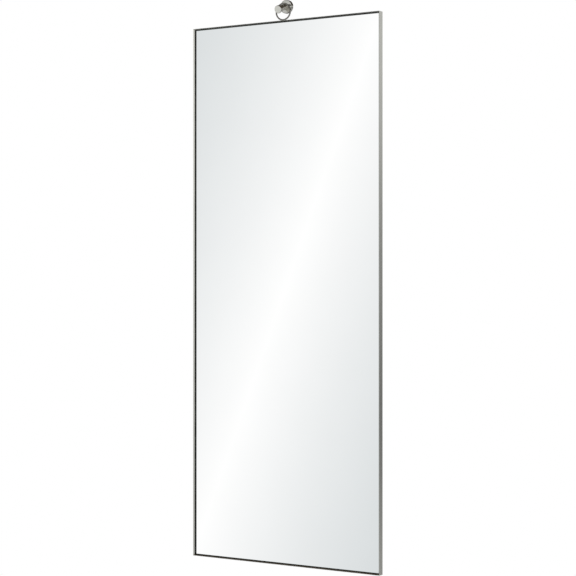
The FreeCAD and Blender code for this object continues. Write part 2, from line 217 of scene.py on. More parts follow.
def grid_faces(rows, columns, rows_close, columns_close):
    """Four-cornered faces between neighbouring points of a grid, numbered row by row."""
    row = np.arange(rows if rows_close else rows - 1)[:, None]
    column = np.arange(columns if columns_close else columns - 1)[None, :]
    next_row = (row + 1) % rows
    next_column = (column + 1) % columns
    corners = [row * columns + column, row * columns + next_column]
    corners += [next_row * columns + next_column, next_row * columns + column]
    return np.stack(corners, -1).reshape(-1, 4)


def closed_mesh(name, points, faces):
    """A mesh with doubled points merged, so that poles and seams are closed, and faces turned outwards."""
    mesh = bpy.data.meshes.new(name)
    mesh.from_pydata(points.reshape(-1, 3).tolist(), [], [list(face) for face in faces])
    work = bmesh.new()
    work.from_mesh(mesh)
    bmesh.ops.remove_doubles(work, verts=work.verts, dist=SAME_POINT)
    bmesh.ops.recalc_face_normals(work, faces=work.faces)
    work.to_mesh(mesh)
    work.free()
    mesh.polygons.foreach_set("use_smooth", np.ones(len(mesh.polygons), bool))
    mesh.update()
    return mesh


def turned_points(outline, centre=(0.0, 0.0)):
    """An outline carried round an axis along Y.

    (u, v) -> (radius(v) cos u, y(v), radius(v) sin u) + centre.
    """
    angle = np.linspace(0, 2 * math.pi, TURNED_SIDES, endpoint=False)
    radius = outline[:, 0][:, None]
    x = centre[0] + radius * np.cos(angle)
    y = np.broadcast_to(outline[:, 1][:, None], x.shape)
    z = centre[1] + radius * np.sin(angle)
    return np.stack([x, y, z], -1)


def link(name, data):
    """Puts a mesh, a lens or a lamp in the scene as an object at the origin."""
    added = bpy.data.objects.new(name, data)
    bpy.context.scene.collection.objects.link(added)
    return added


def surface(name, points, rows_close=False):
    """A piece from a grid of points whose rows are closed rounds."""
    faces = grid_faces(points.shape[0], points.shape[1], rows_close, True)
    return link(name, closed_mesh(name, points, faces))


def fit(piece, material, body, slot, *nodes):
    """Finishes a piece and puts it on its body in place of CAD nodes."""
    piece.data.materials.append(material)
    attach(piece, body)
    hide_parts(*nodes)


def bore(piece, start, end, radius):
    """Cuts a round hole in a piece, from one point to another."""
    along = end - start
    turn = np.array(along.to_track_quat("Y", "Z").to_matrix())
    outline = np.array([(0, 0), (radius, 0), (radius, along.length), (0, along.length)])
    cutter = surface("cutter", turned_points(outline) @ turn.T + np.array(start))
    cut = piece.modifiers.new("bore", "BOOLEAN")
    cut.object = cutter
    cut.operation = "DIFFERENCE"
    cut.solver = "EXACT"
    graph = bpy.context.evaluated_depsgraph_get()
    mesh = bpy.data.meshes.new_from_object(piece.evaluated_get(graph))
    work = bmesh.new()
    work.from_mesh(mesh)
    bmesh.ops.remove_doubles(work, verts=work.verts, dist=SLIVER)
    bmesh.ops.dissolve_degenerate(work, edges=work.edges, dist=SLIVER)
    work.to_mesh(mesh)
    work.free()
    mesh.set_sharp_from_angle(angle=SHARP_ANGLE)
    piece.modifiers.clear()
    piece.data = mesh
    bpy.data.objects.remove(cutter)


flange_low, flange_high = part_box("hook_flange")
plate_low, plate_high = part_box("hook_wall_plate")
flange_radius = flange_high.x
flange_front = flange_low.y
cup_radius = plate_high.x + PLATE_CLEARANCE
cup_floor = flange_front + FLANGE_WALL
flange_outline = rounded_outline([
    (SCREW_HOLE_RADIUS, flange_front, HOLE_ROUND),
    (flange_radius, flange_front, FLANGE_EDGE_ROUND),
    (flange_radius, flange_high.y, FLANGE_LIP_ROUND),
    (cup_radius, flange_high.y, HOLE_ROUND),
    (cup_radius, cup_floor, CUP_ROUND),
    (SCREW_HOLE_RADIUS, cup_floor, HOLE_ROUND),
], closed=True)
flange = surface("flange", turned_points(flange_outline), rows_close=True)
grub_level = plate_low.y / 2
below_flange = Vector((0, grub_level, -flange_radius - FLANGE_WALL))
inside_flange = Vector((0, grub_level, FLANGE_WALL - cup_radius))
bore(flange, below_flange, inside_flange, GRUB_HOLE_RADIUS)
flange_nickel = polished_nickel("flange_nickel", FLANGE_NICKEL_COOL, FLANGE_NICKEL_WARM)
fit(flange, flange_nickel, "wall_hook", "polished_nickel", "hook_flange")


# Peg of the hook: a round bar that slopes down from the flange, bored at both ends and nickel plated.
# Its back end is cut on the slant to sit flat on the flange, where the key screw holds it.
PEG_FALL = math.radians(19)
PEG_LENGTH = 0.040
PEG_EDGE_ROUND = 0.0003
BORE_RADIUS = 0.00255
SCREW_BORE_DEPTH = 0.010
STUD_BORE_DEPTH = 0.011
NICKEL_WARM = (0.715, 0.695, 0.64, 1.0)
NICKEL_COOL = (0.665, 0.65, 0.60, 1.0)
peg_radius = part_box("hook_peg")[1].x
peg_front = flange_front - PEG_LENGTH


def tipped(points):
    """Level points turned down to the peg's slope, about the middle of the flange's front.

    With a = y - front: y' = front + a cos(fall) - z sin(fall), z' = a sin(fall) + z cos(fall).
    """
    along = points[..., 1] - flange_front
    up = points[..., 2]
    y = flange_front + along * math.cos(PEG_FALL) - up * math.sin(PEG_FALL)
    z = along * math.sin(PEG_FALL) + up * math.cos(PEG_FALL)
    return np.stack([points[..., 0], y, z], -1)


def peg_points(outline):
    """The peg's outline carried round its axis and tipped to its slope.

    Before it is tipped, its back end is slanted: y + z tan(fall).
    """
    points = turned_points(outline)
    at_back = outline[:, 1] > flange_front - PEG_LENGTH / 2
    points[..., 1] += at_back[:, None] * points[..., 2] * math.tan(PEG_FALL)
    return tipped(points)


peg_outline = rounded_outline([
    (0, flange_front, 0),
    (peg_radius, flange_front, PEG_EDGE_ROUND),
    (peg_radius, peg_front, PEG_EDGE_ROUND),
    (BORE_RADIUS, peg_front, HOLE_ROUND),
    (BORE_RADIUS, peg_front + STUD_BORE_DEPTH, HOLE_ROUND),
    (0, peg_front + STUD_BORE_DEPTH, 0),
], closed=False)
peg = surface("peg", peg_points(peg_outline))
behind_peg = Vector((0, flange_front + FLANGE_WALL, 0))
bore(peg, behind_peg, Vector((0, flange_front - SCREW_BORE_DEPTH, 0)), BORE_RADIUS)
nickel = polished_nickel("polished_nickel", NICKEL_COOL, NICKEL_WARM)
fit(peg, nickel, "wall_hook", "polished_nickel", "hook_peg")


# Cap of the hook: a round disc, a little larger than the peg, with eased edges and a stud behind.
# It screws into the peg's front end and keeps the ring from slipping off.
CAP_THICKNESS = 0.005
CAP_FRONT_ROUND = 0.0015
CAP_BACK_ROUND = 0.0007
STUD_RADIUS = 0.0025
STUD_LENGTH = 0.010
cap_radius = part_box("hook_cap")[1].x
cap_outline = rounded_outline([
    (0, peg_front - CAP_THICKNESS, 0),
    (cap_radius, peg_front - CAP_THICKNESS, CAP_FRONT_ROUND),
    (cap_radius, peg_front, CAP_BACK_ROUND),
    (STUD_RADIUS, peg_front, HOLE_ROUND),
    (STUD_RADIUS, peg_front + STUD_LENGTH, HOLE_ROUND),
    (0, peg_front + STUD_LENGTH, 0),
], closed=False)
cap = surface("cap", tipped(turned_points(cap_outline)))
fit(cap, nickel, "wall_hook", "polished_nickel", "hook_cap")


# Screws of the hook: a key screw that draws the peg against the flange, its head inside the cup,
# and a headless grub screw with a key socket and a cone point, up through the flange's side.
# Both are blackened steel.
BLACK_OXIDE_DARK = (0.035, 0.035, 0.038, 1.0)
BLACK_OXIDE_WORN = (0.085, 0.082, 0.080, 1.0)
OXIDE_CLOUDS_PER_METRE = 700.0
OXIDE_CLOUD_DEPTH = 0.00001
OXIDE_ROUGHNESS = (0.50, 0.36)
OXIDE_METALLIC = 0.8
GRUB_SOCKET_WIDTH = 0.0015
GRUB_SOCKET_DEPTH = 0.0012
GRUB_EDGE = 0.0002
GRUB_SIDES = 96


def blackened_steel(name):
    """Oil-black steel, with the blacking rubbed thinner in patches."""
    material, tree, shader = new_finish(name)
    clouds = even_grain(tree, OXIDE_CLOUDS_PER_METRE)
    shader.inputs["Metallic"].default_value = OXIDE_METALLIC
    tint(tree, shader, clouds, BLACK_OXIDE_DARK, BLACK_OXIDE_WORN)
    gloss(tree, shader, clouds, OXIDE_ROUGHNESS)
    relief(tree, shader, clouds, OXIDE_CLOUD_DEPTH)
    return material


def grub_points(low, high):
    """A headless screw that fills a box: socket, eased foot, round body and cone point, from below up.

    (u, v) -> (r cos u, r sin u, z(v)).
    Round the socket r = half width / cos(u mod 60 degrees - 30 degrees).
    """
    turn = np.linspace(0, 2 * math.pi, GRUB_SIDES, endpoint=False)
    sixth = math.pi / 3
    socket = GRUB_SOCKET_WIDTH / 2 / np.cos(turn % sixth - sixth / 2)
    body = np.full(GRUB_SIDES, high.x)
    reach = np.array([0 * socket, socket, socket, body - GRUB_EDGE, body, body, 0 * body])
    socket_floor = low.z + GRUB_SOCKET_DEPTH
    cone_start = high.z - high.x
    levels = [socket_floor, socket_floor, low.z, low.z, low.z + GRUB_EDGE, cone_start, high.z]
    x = reach * np.cos(turn)
    y = (low.y + high.y) / 2 + reach * np.sin(turn)
    z = np.array(levels)[:, None] + 0 * turn
    return np.stack([x, y, z], -1)


oxide = blackened_steel("blackened_steel")
dress(oxide, "hook_peg_screw")
grub_screw = surface("grub_screw", grub_points(*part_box("hook_grub_screw")))
grub_screw.data.set_sharp_from_angle(angle=SHARP_ANGLE)
fit(grub_screw, oxide, "wall_hook", "plated_steel", "hook_grub_screw")


# Frame: four flat steel bars set on edge, bevelled towards the glass, mitred, welded and ground flush.
# The bars are nickel plated and brushed along their length to a satin finish. Their inner faces,
# beside the glass, are painted dark: painted shade for the dark recess between bar and glass.
BAR_THICKNESS = 0.0032
BAR_BEVEL = 0.0027
BAR_EDGE_ROUND = 0.0003
BEVEL_EDGE_ROUND = 0.0002
SATIN_WARM = (0.675, 0.675, 0.625, 1.0)
SATIN_COOL = (0.61, 0.612, 0.572, 1.0)
SCRATCHES_PER_METRE = 3600.0
SCRATCH_RUN_PER_METRE = 14.0
SCRATCH_DETAIL = 2.0
SCRATCH_DEPTH = 0.000003
TONE_CLOUDS_PER_METRE = 22.0
BRUSHED_ROUGHNESS = (0.18, 0.26)
STREAKS_IN_TONE = 0.6
BRUSHED_SPREAD = 0.6
ACROSS_THE_GRAIN = 0.25
INNER_PAINTED_SHADE_DARK = (0.10, 0.10, 0.092, 1.0)
INNER_PAINTED_SHADE_PALE = (0.14, 0.14, 0.13, 1.0)
INNER_ROUGHNESS = (0.24, 0.18)
SQUARE_ON = 0.99


def computed(tree, operation, *values):
    """One sum of a shader tree; each value is a number or another node's output."""
    node = tree.nodes.new("ShaderNodeMath")
    node.operation = operation
    for socket, value in zip(node.inputs, values):
        if isinstance(value, (int, float)):
            socket.default_value = value
        else:
            tree.links.new(value, socket)
    return node.outputs["Value"]


def brushed_nickel(name, along):
    """Satin nickel: fine scratches along one axis, and a gloss that is drawn out across them."""
    material, tree, shader = new_finish(name)
    per_metre = [SCRATCH_RUN_PER_METRE if axis == along else SCRATCHES_PER_METRE for axis in "XYZ"]
    scratches = grain(tree, per_metre, SCRATCH_DETAIL)
    clouds = even_grain(tree, TONE_CLOUDS_PER_METRE)
    direction = tree.nodes.new("ShaderNodeCombineXYZ")
    direction.inputs[along].default_value = 1.0
    tree.links.new(direction.outputs["Vector"], shader.inputs["Tangent"])
    shader.inputs["Metallic"].default_value = 1.0
    shader.inputs["Anisotropic"].default_value = BRUSHED_SPREAD
    shader.inputs["Anisotropic Rotation"].default_value = ACROSS_THE_GRAIN
    cloud_share = computed(tree, "MULTIPLY", clouds, 1 - STREAKS_IN_TONE)
    tone = computed(tree, "MULTIPLY_ADD", scratches, STREAKS_IN_TONE, cloud_share)
    tint(tree, shader, tone, SATIN_COOL, SATIN_WARM)
    gloss(tree, shader, scratches, BRUSHED_ROUGHNESS)
    relief(tree, shader, scratches, SCRATCH_DEPTH)
    return material


def painted_shade_nickel(name):
    """Nickel on the bars' inner faces, painted dark and cloudy: painted shade for the recess beside the
    glass.
    """
    material, tree, shader = new_finish(name)
    clouds = even_grain(tree, TONE_CLOUDS_PER_METRE)
    shader.inputs["Metallic"].default_value = 1.0
    # Painted shade: these dark tones stand in for the shade in the recess between bar and glass.
    tint(tree, shader, clouds, INNER_PAINTED_SHADE_DARK, INNER_PAINTED_SHADE_PALE)
    gloss(tree, shader, clouds, INNER_ROUGHNESS)
    return material


def face_normals(mesh):
    """The way each face of a mesh looks, one row for each."""
    return np.array([face.normal[:] for face in mesh.polygons])


def bar_points(outline, side, is_rail):
    """A bar's two mitred ends; the inset t of each outline point moves it in from the frame's corner.

    Rail: (t, y) -> (-+(W - t), y, level + side (H - t)).
    Stile: (t, y) -> (side (W - t), y, level -+ (H - t)).
    """
    ends = np.array([-1, 1])[:, None]
    sides = np.array([side, side])[:, None]
    x = (ends if is_rail else sides) * (half_width - outline[:, 0])
    z = frame_level + (sides if is_rail else ends) * (half_height - outline[:, 0])
    y = np.broadcast_to(outline[:, 1], x.shape)
    return np.stack([x, y, z], -1)


rail_low, rail_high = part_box("frame_top_rail")
frame_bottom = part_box("frame_bottom_rail")[0].z
half_width = rail_high.x
half_height = (rail_high.z - frame_bottom) / 2
frame_level = (rail_high.z + frame_bottom) / 2
bar_outline = rounded_outline([
    (0, rail_low.y, BAR_EDGE_ROUND),
    (BAR_THICKNESS - BAR_BEVEL, rail_low.y, BEVEL_EDGE_ROUND),
    (BAR_THICKNESS, rail_low.y + BAR_BEVEL, BEVEL_EDGE_ROUND),
    (BAR_THICKNESS, rail_high.y, BAR_EDGE_ROUND),
    (0, rail_high.y, BAR_EDGE_ROUND),
], closed=True)
count = len(bar_outline)
around = np.arange(count)
bar_faces = grid_faces(2, count, False, True).tolist()
for end in (0, 1):
    end_middle = np.full(count, 2 * count + end)
    fan = np.stack([end * count + around, end * count + np.roll(around, -1), end_middle], -1)
    bar_faces += fan.tolist()
rail_finish = brushed_nickel("brushed_nickel_rails", "X")
stile_finish = brushed_nickel("brushed_nickel_stiles", "Z")
inner_painted_shade = painted_shade_nickel("painted_shade_nickel")
for name, side, is_rail in (("top_rail", 1, True), ("bottom_rail", -1, True),
                            ("left_stile", -1, False), ("right_stile", 1, False)):
    ends = bar_points(bar_outline, side, is_rail).reshape(-1, 3)
    end_middles = bar_points(bar_outline.mean(0)[None], side, is_rail).reshape(-1, 3)
    bar_mesh = closed_mesh(name, np.concatenate([ends, end_middles]), bar_faces)
    bar_mesh.set_sharp_from_angle(angle=SHARP_ANGLE)
    finish = rail_finish if is_rail else stile_finish
    fit(link(name, bar_mesh), finish, "hanging_mirror", "satin_nickel", f"frame_{name}")
    # The inner faces, beside the glass, take the painted shade material.
    bar_mesh.materials.append(inner_painted_shade)
    inward = (0, 0, -side) if is_rail else (-side, 0, 0)
    is_painted_shade_face = face_normals(bar_mesh) @ np.array(inward) > SQUARE_ON
    bar_mesh.polygons.foreach_set("material_index", is_painted_shade_face.astype(np.int32))


# Hanging ring: round wire bent to a ring, its ends welded, ground flat underneath and polished.
# It stands on the middle of the top rail, flush with the rail's front edge. Its nickel is painted
# darker than the bars': painted shade for the dark surroundings that the wire reflects.
WIRE_NICKEL_SHADED_WARM = (0.33, 0.315, 0.29, 1.0)
WIRE_NICKEL_SHADED_COOL = (0.28, 0.27, 0.25, 1.0)
RING_TURN_STEPS = 220
RING_WIRE_STEPS = 36
ring_low, ring_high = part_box("hanging_ring")
wire_radius = (ring_high.y - ring_low.y) / 2
ring_radius = ring_high.x - wire_radius
ring_middle = Vector((0, (ring_low.y + ring_high.y) / 2, ring_high.z - ring_high.x))


def ring_points():
    """A torus in the XZ plane, cut flat underneath, where z is no lower than the rail's top.

    (u, v) -> ((R + r cos v) cos u, r sin v, (R + r cos v) sin u) + centre.
    """
    turn = np.linspace(0, 2 * math.pi, RING_TURN_STEPS, endpoint=False)[:, None]
    round_wire = np.linspace(0, 2 * math.pi, RING_WIRE_STEPS, endpoint=False)[None, :]
    reach = ring_radius + wire_radius * np.cos(round_wire)
    x = ring_middle.x + reach * np.cos(turn)
    y = ring_middle.y + wire_radius * np.sin(round_wire) + 0 * turn
    z = ring_middle.z + reach * np.sin(turn)
    return np.stack([x, y, np.maximum(z, rail_high.z)], -1)


ring = surface("ring", ring_points(), rows_close=True)
# The ring's nickel tones are painted darker: painted shade for the dark surroundings the wire reflects.
wire_nickel_painted_shade = polished_nickel("wire_nickel_painted_shade", WIRE_NICKEL_SHADED_COOL, WIRE_NICKEL_SHADED_WARM)
fit(ring, wire_nickel_painted_shade, "hanging_mirror", "polished_nickel", "hanging_ring")


# Ring weld: a small bead on each side of the ring's foot, where it is joined to the top rail.
# It is ground, polished and plated with the frame, and stays a little rougher than the bars.
WELD_RIPPLES_PER_METRE = 900.0
WELD_RIPPLE_DEPTH = 0.00006
WELD_ROUGHNESS = (0.40, 0.26)


def ground_weld(name):
    """Ground weld metal under the nickel: faint ripples and a mottled, half-dull gloss."""
    material, tree, shader = new_finish(name)
    ripples = even_grain(tree, WELD_RIPPLES_PER_METRE)
    shader.inputs["Metallic"].default_value = 1.0
    tint(tree, shader, ripples, SATIN_COOL, SATIN_WARM)
    gloss(tree, shader, ripples, WELD_ROUGHNESS)
    relief(tree, shader, ripples, WELD_RIPPLE_DEPTH)
    return material


dress(ground_weld("ground_weld"), "ring_weld")


# Retaining tabs: ten small steel tabs, sheared with cut corners, drilled and zinc plated.
# Each is welded inside a bar, flush with the bar's back edge.
tab_nodes = sorted(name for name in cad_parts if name.startswith("retaining_tab"))
dress(zinc, *tab_nodes)


# Backing board: one sheet of brown hardboard, pressed from wood fibre on a wire screen.
# It is put in from the front, against the tabs, and their screws bite into it.
BOARD_BROWN = (0.215, 0.125, 0.068, 1.0)
BOARD_TAN = (0.365, 0.235, 0.135, 1.0)
BOARD_CLOUDS_PER_METRE = 34.0
BOARD_DETAIL = 5.0
BOARD_TONE_RANGE = (0.30, 0.72)
BOARD_ROUGHNESS = (0.85, 0.68)
FIBRES_PER_METRE = (420.0, 420.0, 130.0)
FIBRES_IN_TONE = 0.6
CLOUDS_IN_TONE = (0.15, 0.27)
WIRES_PER_METRE = 310.0
WIRE_WAVER = 0.6
WIRE_PRINT_DEPTH = 0.00012
BANDS_AT_SCALE_ONE = 10 / math.pi


def hardboard(name):
    """Hardboard's screen side: mottled brown fibre, with the print of a woven wire screen."""
    material, tree, shader = new_finish(name)
    clouds = even_grain(tree, BOARD_CLOUDS_PER_METRE, BOARD_DETAIL)
    fibres = grain(tree, FIBRES_PER_METRE, BOARD_DETAIL)
    cloud_share = ranged(tree, clouds, *CLOUDS_IN_TONE)
    mottle = computed(tree, "MULTIPLY_ADD", fibres, FIBRES_IN_TONE, cloud_share)
    place = tree.nodes.new("ShaderNodeTexCoord")
    wires = []
    for axis in ("X", "Z"):
        wave = tree.nodes.new("ShaderNodeTexWave")
        wave.bands_direction = axis
        wave.inputs["Scale"].default_value = WIRES_PER_METRE / BANDS_AT_SCALE_ONE
        wave.inputs["Distortion"].default_value = WIRE_WAVER
        tree.links.new(place.outputs["Object"], wave.inputs["Vector"])
        wires.append(wave.outputs["Fac"])
    tint(tree, shader, mottle, BOARD_BROWN, BOARD_TAN, *BOARD_TONE_RANGE)
    gloss(tree, shader, fibres, BOARD_ROUGHNESS)
    relief(tree, shader, computed(tree, "MULTIPLY", *wires), WIRE_PRINT_DEPTH)
    return material


dress(hardboard("hardboard"), "backing_board")


# Tab screws: ten short pan head screws with cross recesses, zinc plated.
# Each goes through a tab's hole into the board.
SCREW_HEAD_RADIUS = 0.0033
SCREW_HEAD_HEIGHT = 0.0018
SCREW_SHANK_RADIUS = 0.0015
SCREW_RIM_HEIGHT = 0.0007
RECESS_DEPTH = 0.0011
RECESS_REACH = 0.0019
RECESS_WIDTH = 0.0005
RECESS_SOFTNESS = 0.00018
HEAD_RINGS = 40
HEAD_SPOKES = 112
SAME_CORNER = 0.000001


def soft_step(value, low, high):
    """0 below low, 1 above high and a smooth cubic between."""
    share = np.clip((value - low) / (high - low), 0, 1)
    return share * share * (3 - 2 * share)


def screw_points(tip_length):
    """One screw at the origin, its head's seat in the plane y = 0 and its head towards +Y.

    The head is a height field on rings and spokes: y = rim + (height - rim) sqrt(1 - (r / R)^2), less a
    cross whose depth falls from the middle to its ends. The seat, the shank and the tip follow it.
    """
    spoke = np.linspace(0, 2 * math.pi, HEAD_SPOKES, endpoint=False)[None, :]
    radius = np.linspace(0, SCREW_HEAD_RADIUS, HEAD_RINGS)[:, None]
    x = radius * np.cos(spoke)
    z = radius * np.sin(spoke)
    dome = np.sqrt(1 - (radius / SCREW_HEAD_RADIUS) ** 2)
    height = SCREW_RIM_HEIGHT + (SCREW_HEAD_HEIGHT - SCREW_RIM_HEIGHT) * dome + 0 * spoke
    narrow = np.minimum(abs(x), abs(z))
    wide = np.maximum(abs(x), abs(z))
    in_arm = 1 - soft_step(narrow, RECESS_WIDTH - RECESS_SOFTNESS, RECESS_WIDTH + RECESS_SOFTNESS)
    depth = RECESS_DEPTH * np.clip(1 - (wide / RECESS_REACH) ** 2, 0, 1)
    head = np.stack([x, height - depth * in_arm, z], -1)
    turned = np.array([
        (SCREW_HEAD_RADIUS, 0.0),
        (SCREW_SHANK_RADIUS, 0.0),
        (SCREW_SHANK_RADIUS, SCREW_SHANK_RADIUS - tip_length),
        (0.0, -tip_length),
    ])
    ring_x = turned[:, :1] * np.cos(spoke)
    ring_z = turned[:, :1] * np.sin(spoke)
    below = np.stack([ring_x, turned[:, 1:] + 0 * spoke, ring_z], -1)
    return np.concatenate([head, below])


def screw_set(name, seats, tip_length):
    """Like screws at several seats, as one piece."""
    one = screw_points(tip_length)
    rows = len(one)
    points = np.concatenate([one.reshape(-1, 3) + np.array(seat) for seat in seats])
    faces = grid_faces(rows, HEAD_SPOKES, False, True)
    count = rows * HEAD_SPOKES
    all_faces = np.concatenate([faces + i * count for i in range(len(seats))])
    mesh = closed_mesh(name, points, all_faces)
    mesh.set_sharp_from_angle(angle=SHARP_ANGLE)
    return link(name, mesh)


def solid_middles(node):
    """The middle of each separate solid of a CAD node, after its triangles are joined at their corners."""
    work = bmesh.new()
    work.from_mesh(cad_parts[node].data)
    bmesh.ops.remove_doubles(work, verts=work.verts, dist=SAME_CORNER)
    left = set(work.verts)
    middles = []
    while left:
        reached = [left.pop()]
        for vert in reached:
            near = [edge.other_vert(vert) for edge in vert.link_edges]
            fresh = [other for other in near if other in left]
            left.difference_update(fresh)
            reached.extend(fresh)
        corners = np.array([vert.co[:] for vert in reached])
        middles.append((corners.min(0) + corners.max(0)) / 2)
    work.free()
    return sorted(middles, key=tuple)


bar_back = rail_high.y
tab_seats = [(x, bar_back, z) for x, _, z in solid_middles("tab_screws")]
tab_screws = screw_set("tab_screw_set", tab_seats, bar_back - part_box("tab_screws")[0].y)
fit(tab_screws, zinc, "hanging_mirror", "plated_steel", "tab_screws")


# Wall bumpers: two tapered black rubber feet on the board's lower corners, each held by a screw
# at the bottom of its recess. They rest on the wall and hold the mirror upright.
BUMPER_FLOOR = 0.004
BUMPER_RECESS_RADIUS = 0.004
BUMPER_HOLE_RADIUS = 0.0017
BUMPER_WALL_RADIUS = 0.0075
BUMPER_EDGE_ROUND = 0.0011
BUMPER_SMALL_ROUND = 0.0003
RUBBER_BLACK = (0.018, 0.018, 0.019, 1.0)
RUBBER_BLOOM = (0.045, 0.045, 0.047, 1.0)
RUBBER_PORES_PER_METRE = 1900.0
RUBBER_PORE_DEPTH = 0.00005
RUBBER_CLOUDS_PER_METRE = 160.0
RUBBER_ROUGHNESS = (0.56, 0.74)


def black_rubber(name):
    """Moulded black rubber, with a grey bloom in patches and a fine open skin."""
    material, tree, shader = new_finish(name)
    bloom = even_grain(tree, RUBBER_CLOUDS_PER_METRE)
    pores = even_grain(tree, RUBBER_PORES_PER_METRE)
    tint(tree, shader, bloom, RUBBER_BLACK, RUBBER_BLOOM)
    gloss(tree, shader, bloom, RUBBER_ROUGHNESS)
    relief(tree, shader, pores, RUBBER_PORE_DEPTH)
    return material


rubber = black_rubber("black_rubber")
for side in ("left", "right"):
    node = f"wall_bumper_{side}"
    low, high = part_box(node)
    base_radius = (high.x - low.x) / 2
    middle = ((low.x + high.x) / 2, (low.z + high.z) / 2)
    seat = low.y + BUMPER_FLOOR
    bumper_outline = rounded_outline([
        (BUMPER_HOLE_RADIUS, low.y, BUMPER_SMALL_ROUND),
        (base_radius, low.y, BUMPER_SMALL_ROUND),
        (BUMPER_WALL_RADIUS, high.y, BUMPER_EDGE_ROUND),
        (BUMPER_RECESS_RADIUS, high.y, BUMPER_SMALL_ROUND),
        (BUMPER_RECESS_RADIUS, seat, BUMPER_SMALL_ROUND),
        (BUMPER_HOLE_RADIUS, seat, BUMPER_SMALL_ROUND),
    ], closed=True)
    bumper = surface(f"rubber_bumper_{side}", turned_points(bumper_outline, middle), rows_close=True)
    fit(bumper, rubber, "hanging_mirror", "black_rubber", node)
bumper_seats = [(x, seat, z) for x, _, z in solid_middles("bumper_screws")]
bumper_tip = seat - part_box("bumper_screws")[0].y
bumper_screws = screw_set("bumper_screw_set", bumper_seats, bumper_tip)
fit(bumper_screws, zinc, "hanging_mirror", "plated_steel", "bumper_screws")


# Foam tape: three upright strips of white double-sided foam tape.
# They stick the glass to the backing board.
FOAM_PALE = (0.80, 0.80, 0.77, 1.0)
FOAM_SHADE = (0.62, 0.62, 0.60, 1.0)
FOAM_CELLS_PER_METRE = 2600.0
FOAM_CELL_DETAIL = 1.0
FOAM_CELL_DEPTH = 0.0001
FOAM_ROUGHNESS = (0.95, 0.8)


def foam(name):
    """Closed-cell foam: off white, with small cells that open on the cut sides."""
    material, tree, shader = new_finish(name)
    cells = even_grain(tree, FOAM_CELLS_PER_METRE, FOAM_CELL_DETAIL)
    tint(tree, shader, cells, FOAM_SHADE, FOAM_PALE)
    gloss(tree, shader, cells, FOAM_ROUGHNESS)
    relief(tree, shader, cells, FOAM_CELL_DEPTH)
    return material


dress(foam("foam_tape"), "foam_tape_1", "foam_tape_2", "foam_tape_3")


# Setting blocks: two short strips of black rubber on the bottom rail.
# The glass stands on them, so it never touches metal.
dress(rubber, "setting_block_left", "setting_block_right")


# Mirror glass: a float glass pane, silvered and painted grey on its back, with ground edges.
# It is put in last, from the front: it stands on the setting blocks and sticks to the tape, set back
# from the bars' front edges.
GLASS_ARRIS = 0.0005
SILVER_TONE = (0.942, 0.944, 0.942, 1.0)
SILVER_TINT = (0.936, 0.938, 0.936, 1.0)
SILVER_ROUGHNESS = (0.0, 0.012)
HAZE_PER_METRE = 7.0
GLASS_EDGE_LIGHT = (0.30, 0.46, 0.41, 1.0)
GLASS_EDGE_DEEP = (0.13, 0.27, 0.23, 1.0)
GLASS_EDGE_ROUGHNESS = (0.45, 0.25)
GRINDING_PER_METRE = (1800.0, 400.0, 1800.0)
GRINDING_DEPTH = 0.00002
BACK_PAINT = (0.23, 0.235, 0.24, 1.0)
BACK_PAINT_THIN = (0.29, 0.295, 0.30, 1.0)
BACK_PAINT_ROUGHNESS = (0.5, 0.36)
PAINT_BANDS_PER_METRE = (35.0, 35.0, 4.0)
SILVERED, GROUND, PAINTED = range(3)
glass_low, glass_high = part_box("mirror_glass")


def silvering(name):
    """The silvered face seen through clear glass: a mirror, with a breath of haze that comes and goes."""
    material, tree, shader = new_finish(name)
    haze = even_grain(tree, HAZE_PER_METRE)
    shader.inputs["Metallic"].default_value = 1.0
    tint(tree, shader, haze, SILVER_TINT, SILVER_TONE)
    gloss(tree, shader, haze, SILVER_ROUGHNESS)
    return material


def ground_glass_edge(name):
    """The pane's ground edge: pale green, satin, and darker where the grinding is deep."""
    material, tree, shader = new_finish(name)
    grinding = grain(tree, GRINDING_PER_METRE)
    tint(tree, shader, grinding, GLASS_EDGE_DEEP, GLASS_EDGE_LIGHT)
    gloss(tree, shader, grinding, GLASS_EDGE_ROUGHNESS)
    relief(tree, shader, grinding, GRINDING_DEPTH)
    return material


def backing_paint(name):
    """The grey paint over the silver, laid on by a roller in faint bands."""
    material, tree, shader = new_finish(name)
    bands = grain(tree, PAINT_BANDS_PER_METRE)
    tint(tree, shader, bands, BACK_PAINT, BACK_PAINT_THIN)
    gloss(tree, shader, bands, BACK_PAINT_ROUGHNESS)
    return material


def glass_rings():
    """Four rectangles, from the pane's front face to its back.

    (inset, y) -> the pane's four corners, each moved in by the inset.
    """
    inset = np.array([GLASS_ARRIS, 0.0, 0.0, GLASS_ARRIS])[:, None]
    depth = np.array([0.0, GLASS_ARRIS, -GLASS_ARRIS, 0.0])[:, None]
    depth[:2] += glass_low.y
    depth[2:] += glass_high.y
    side = np.array([-1, 1, 1, -1])[None, :]
    level = np.array([-1, -1, 1, 1])[None, :]
    x = side * (glass_high.x - inset)
    z = (glass_low.z + glass_high.z) / 2 + level * ((glass_high.z - glass_low.z) / 2 - inset)
    return np.stack([x, np.broadcast_to(depth, x.shape), z], -1)


rings = glass_rings()
ring_count, corner_count = rings.shape[:2]
glass_bands = grid_faces(ring_count, corner_count, False, True)
glass_ends = np.arange(ring_count * corner_count).reshape(ring_count, corner_count)[[0, -1]]
glass_mesh = closed_mesh("glass_pane", rings, np.concatenate([glass_bands, glass_ends]))
glass_mesh.polygons.foreach_set("use_smooth", np.zeros(len(glass_mesh.polygons), bool))
glass = link("glass_pane", glass_mesh)
fit(glass, silvering("silvered_glass"), "hanging_mirror", "silvered_glass", "mirror_glass")
glass_mesh.materials.append(ground_glass_edge("ground_glass_edge"))
glass_mesh.materials.append(backing_paint("mirror_back_paint"))
towards_wall = face_normals(glass_mesh)[:, 1]
is_front = towards_wall < -SQUARE_ON
is_back = towards_wall > SQUARE_ON
face_kinds = np.select([is_front, is_back], [SILVERED, PAINTED], GROUND)
glass_mesh.polygons.foreach_set("material_index", face_kinds.astype(np.int32))


